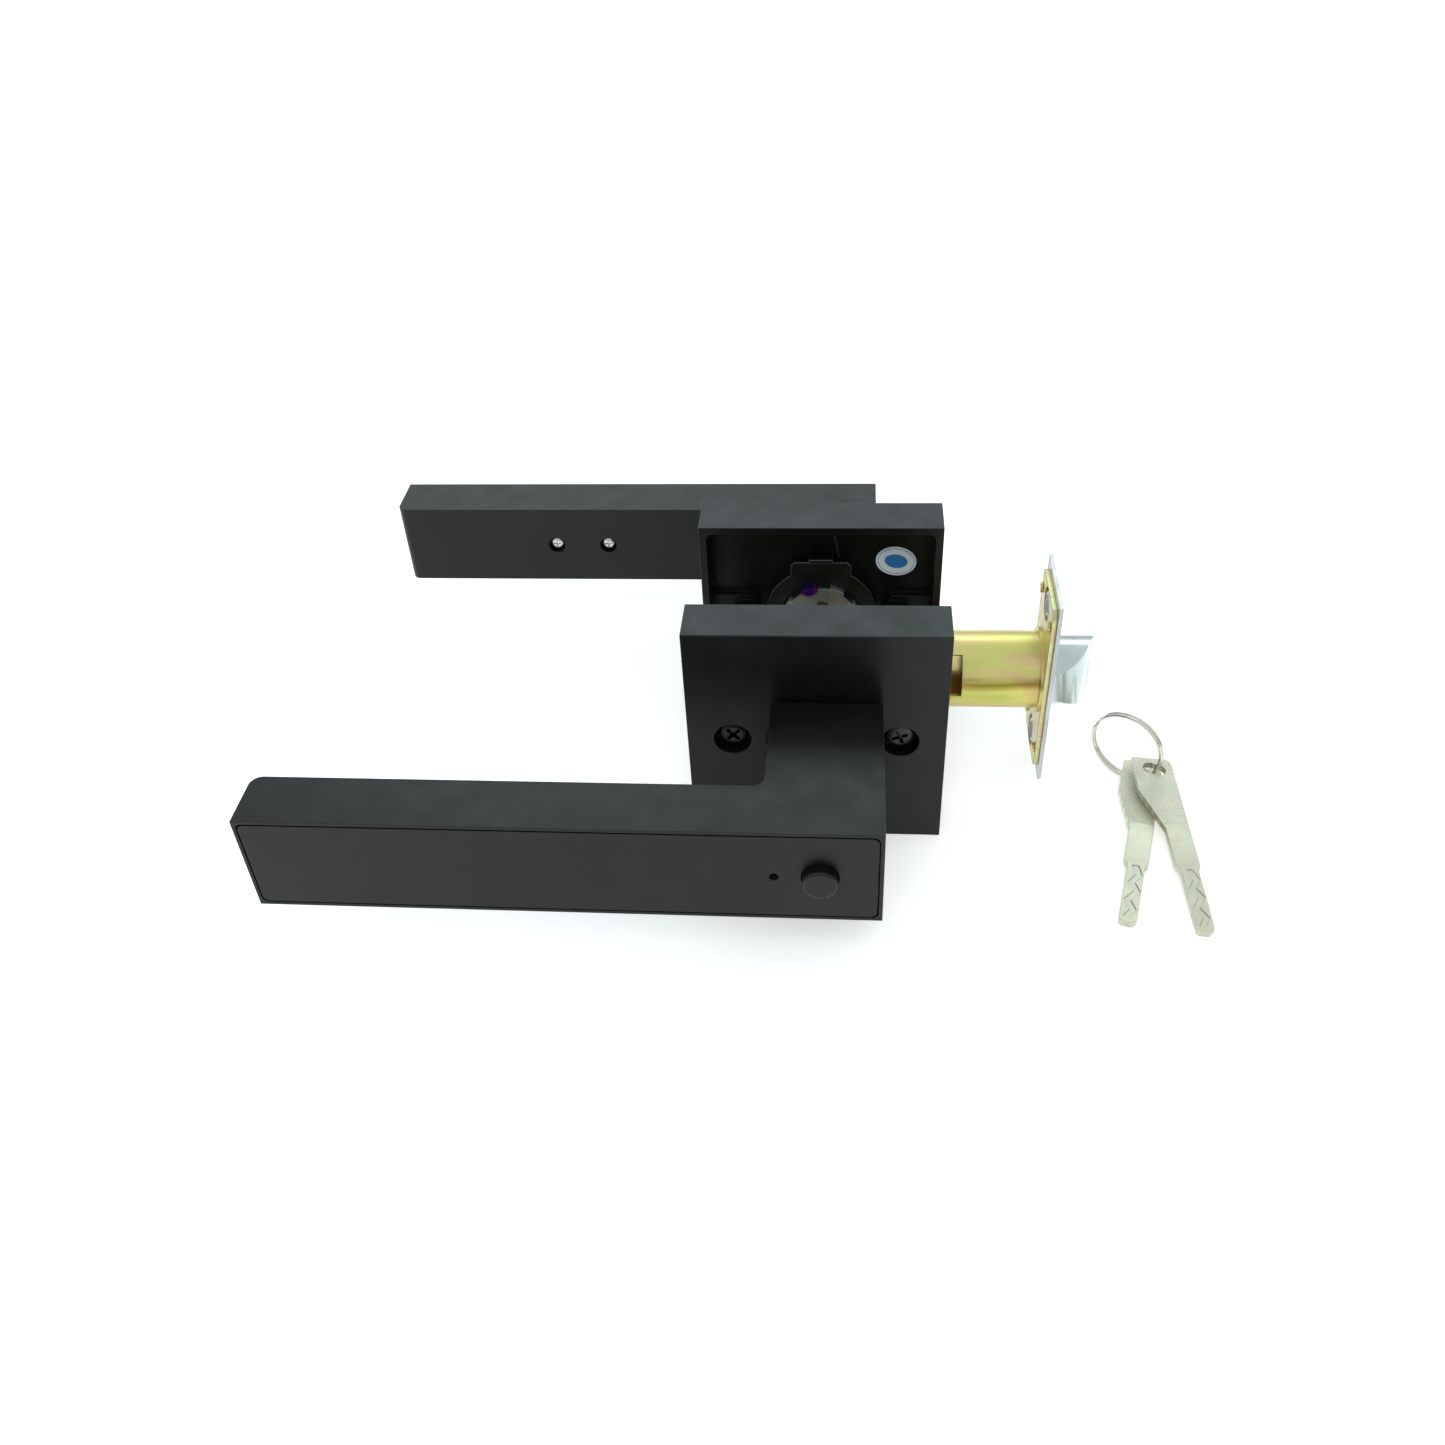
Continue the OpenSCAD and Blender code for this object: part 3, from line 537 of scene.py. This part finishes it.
def lathe(name, profile, origin, along, body, looks, replaced=(), sides=48):
    """A turned piece: profile rows are (distance along, radius, look number of the band that follows)."""
    origin, along = Vector(origin) * MM, Vector(along)
    side = along.orthogonal().normalized()
    across = along.cross(side)
    verts, bands = [], []
    for at, r, _ in profile:
        for k in range(sides):
            a = 2 * math.pi * k / sides
            verts.append((origin + (along * at + (side * math.cos(a) + across * math.sin(a)) * r) * MM)[:])
    for _, _, band in profile[:-1]:
        bands += [band] * sides
    bands += [profile[0][2], profile[-2][2]]
    mesh = bpy.data.meshes.new(name)
    mesh.from_pydata(verts, [], ring_faces(len(profile), sides))
    mesh.polygons.foreach_set("material_index", bands)
    return declare(show(name, mesh, looks, 40), body, replaced)


def oval(a, b, turn=0.0, count=48):
    """Corners of an ellipse with half-axes a and b, turned by so many degrees."""
    c, s = math.cos(math.radians(turn)), math.sin(math.radians(turn))
    angles = [2 * math.pi * k / count for k in range(count)]
    ring = [(a * math.cos(angle), b * math.sin(angle)) for angle in angles]
    return [(u * c - v * s, u * s + v * c) for u, v in ring]


# ---------------------------------------------------------------- pieces

def finish_nodes():
    """The CAD nodes whose edges catch the light, with a small round on each edge."""
    # the rounds on the black parts' edges take a lighter black: a painted highlight along each edge
    for node in ("inside_rose", "outside_rose"):
        finished(node, 0.8, 3, edge="satin_black_painted_highlight")
    for node in ("inside_lever", "outside_lever", "battery_cover", "privacy_button"):
        finished(node, 0.25, 3, edge="satin_black_painted_highlight")
    # the spring plates' rounds take a lighter grey: a painted highlight along their edges
    for node in ("outside_spring_plate", "inside_spring_plate"):
        finished(node, 0.15, edge="oxide_painted_highlight")
    finished("latch_faceplate", 0.12, look="plate_nickel")
    finished("clutch_ring", 0.10, look="tinted_steel")
    # the backplate's rounds take a dark brown: a painted shadow along its edges
    finished("latch_backplate", 0.22, edge="zinc_painted_gap_shadow")
    finished("latch_tube", 0.12, look="tube_zinc")
    widths = {
        "latch_bolt": 0.5, "mounting_screws": 0.12,
        "lever_screws": 0.08, "clutch_dog": 0.12, "faceplate_rivets": 0.12, "key_cylinder": 0.25,
        "key_plug": 0.15, "fingerprint_sensor": 0.2, "keypad_glass": 0.15, "keypad_frame": 0.15,
        "spindle": 0.3, "bolt_tail": 0.1, "latch_case": 0.15, "latch_cam": 0.12, "inside_circlip": 0.08,
        "outside_circlip": 0.08, "battery_tray": 0.15, "inside_bushing": 0.15, "outside_bushing": 0.15}
    for node, width in widths.items():
        finished(node, width)


RING_RUN = 53.75            # from a key's tip to the slot in its bow, mm
KEY_HALF = 1                # half a key's thickness, mm
RING_RADIUS = 9.9
RING_WIRE = 0.5
RING_CENTRE = Vector((83.45, -5.03, FLOOR_Z / MM + RING_WIRE + RING_RADIUS))
RING_PLANE = math.radians(-36)


def key_frame(tilt, turn):
    """A laid key's own frame: origin where the ring passes, Y from the tip to the bow."""
    tilt, turn = math.radians(tilt), math.radians(turn)
    rise = FLOOR_Z / MM + RING_RUN * math.sin(tilt)
    reach = math.sqrt(RING_RADIUS ** 2 - (rise + KEY_HALF - RING_CENTRE.z) ** 2)
    place = Vector((RING_CENTRE.x + reach * math.cos(RING_PLANE),
                    RING_CENTRE.y + reach * math.sin(RING_PLANE), rise))
    return Matrix.Translation(place * MM) @ Matrix.Rotation(turn, 4, "Z") @ Matrix.Rotation(tilt, 4, "X")


def make_keys():
    finished("key_1", 0.14, look="key_nickel", own=key_frame(1.7, -14.4))
    finished("key_2", 0.14, look="key_nickel", own=key_frame(5.4, 2.9))
    # a split ring: two turns of wire, with one short crossing where the turns change sides
    across = Vector((math.cos(RING_PLANE), math.sin(RING_PLANE), 0))
    normal = Vector((-math.sin(RING_PLANE), math.cos(RING_PLANE), 0))
    start, crossing, stop = math.radians(165), math.radians(30), 4 * math.pi
    steps, apart = 240, 0.52
    points = []
    for i in range(steps + 1):
        a = (stop - crossing) * i / steps
        share = min(1.0, max(0.0, (a - 2 * math.pi + crossing) / crossing))
        offset = apart * (2 * share * share * (3 - 2 * share) - 1)
        outward = across * math.cos(a + start) + Vector((0, 0, 1)) * math.sin(a + start)
        points.append((RING_CENTRE + outward * RING_RADIUS + normal * offset) * MM)
    tube("split_ring", points, RING_WIRE * MM, "ring", "ring_steel", ["key_ring"], sides=12)


def make_springs():
    """The latch's two coils, the coil behind the button and a flat coil behind each spring plate."""
    low, high = (c.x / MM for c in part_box("latch_springs"))
    wire = 0.25
    for z, replaced in ((-5, ["latch_springs"]), (5, ())):
        name = "latch_spring_low" if z < 0 else "latch_spring_high"
        path = coil((low + wire, 0, z), (1, 0, 0), (0, 0, 1), 1.55, high - low - 2 * wire, 8, wire, 1)
        spring = tube(name, path, wire * MM, "lock_body", "spring_steel", replaced, sides=8)
        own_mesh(spring)
    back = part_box("button_spring")[1].y / MM
    wire = 0.27
    path = coil((2.2, back - wire, 0), (0, -1, 0), (1, 0, 0), 4.62, 4.0, 4, wire, 1)
    spring = tube("button_coil", path, wire * MM, "inside_handle", "spring_steel",
                  ["button_spring"])
    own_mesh(spring)
    for s, node in ((-1, "inside_return_spring"), (1, "outside_return_spring")):
        path = coil((0, s * 25.8, 0), (0, s, 0), (0, 0, 1), 14.42, 1.2, 2, per_turn=72)
        tube("wound_" + node, path, 0.3 * MM, "lock_body", "spring_steel", [node])


def make_cells():
    """AAA cells: a printed wrap folded over crimped steel ends."""
    profile = [(0, 3.6, 1), (0.15, 4.2, 0), (0.1, 4.9, 0), (0.5, 5.25, 0), (9.0, 5.25, 2), (9.01, 5.25, 2),
               (42.6, 5.25, 0), (43.0, 5.0, 0), (43.1, 4.3, 1), (42.9, 3.6, 1), (43.3, 3.2, 1),
               (43.35, 1.9, 1), (44.3, 1.85, 1), (44.5, 1.6, 1)]
    for i in range(1, 5):
        low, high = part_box(f"battery_{i}")
        origin = (low.x / MM, (low.y + high.y) / 2 / MM, (low.z + high.z) / 2 / MM)
        lathe(f"cell_{i}", profile, origin, (1, 0, 0), "inside_handle",
              ["cell_wrap", "bright_steel", "cell_band"], [f"battery_{i}"])


def make_keypad():
    """Printed digits in two rows of five on the outside glass, and a ring round the fingerprint sensor."""
    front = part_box("keypad_glass")[1].y / MM
    first, pitch, row, per_row = -44, 17, 4.9, 5
    joined = bmesh.new()
    for i, digit in enumerate("1234567890"):
        font = bpy.data.curves.new("digit", "FONT")
        font.body = digit
        font.size = 6.4
        font.align_x = font.align_y = "CENTER"
        font.extrude = 0.02
        sign = bpy.data.objects.new("digit", font)
        bpy.context.scene.collection.objects.link(sign)
        mesh = bpy.data.meshes.new_from_object(sign.evaluated_get(bpy.context.evaluated_depsgraph_get()))
        bpy.data.objects.remove(sign)
        place = Vector((first - pitch * (i % per_row), front + 0.01, row if i < per_row else -row)) * MM
        facing = Matrix(((-1, 0, 0), (0, 0, 1), (0, 1, 0))).to_4x4()
        mesh.transform(Matrix.Translation(place) @ facing @ Matrix.Scale(MM, 4))
        joined.from_mesh(mesh)
    mesh = bpy.data.meshes.new("keypad_digits")
    joined.to_mesh(mesh)
    joined.free()
    declare(show("keypad_digits", mesh, ["printed_white"], 30), "outside_handle")
    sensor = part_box("fingerprint_sensor")
    centre = ((sensor[0].x + sensor[1].x) / 2 / MM, front + 0.02, (sensor[0].z + sensor[1].z) / 2 / MM)
    count, halo = 96, 6.75
    ring = [(*(Vector(centre) * MM + Vector((math.cos(a), 0, math.sin(a))) * halo * MM),)
            for a in (2 * math.pi * k / count for k in range(count))]
    tube("sensor_halo", ring, 0.07 * MM, "outside_handle", "printed_white", sides=6)


def make_print():
    """The sticker's face and printed oval, and the thin wire above the outside spring plate."""
    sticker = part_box("inspection_sticker")
    x, z = ((sticker[0][k] + sticker[1][k]) / 2 / MM for k in (0, 2))
    plate("sticker_face", oval(5.6, 4.6, -10), 0.2, (x, sticker[1].y / MM, z), (1, 0, 0), (0, 0, 1),
          "lock_body", "paper_label", replaced=["inspection_sticker"])
    face = sticker[0].y / MM
    plate("sticker_print", oval(3.2, 2.2, -10), 0.02, (x, face, z), (1, 0, 0), (0, 0, 1),
          "lock_body", "printed_blue")
    rim = [Vector((x + u, face, z + v)) * MM for u, v in oval(5.0, 4.0, -10, 96)]
    tube("sticker_rim", rim, 0.09 * MM, "lock_body", "printed_blue", sides=6)
    wire_y = 27.1
    route = [(2.6, 30.3), (2.75, 28.6), (3.05, 27.0), (3.4, 25.7), (3.8, 23.4), (4.3, 20.6), (4.84, 17.5)]
    points = [Vector((x, wire_y, z)) * MM for x, z in route]
    tube("sensor_wire", points, 0.33 * MM, "lock_body", "wire_sleeve")


make_camera()
make_studio()
make_materials()
paint_nodes()
finish_nodes()
make_keys()
make_springs()
make_cells()
make_keypad()
make_print()
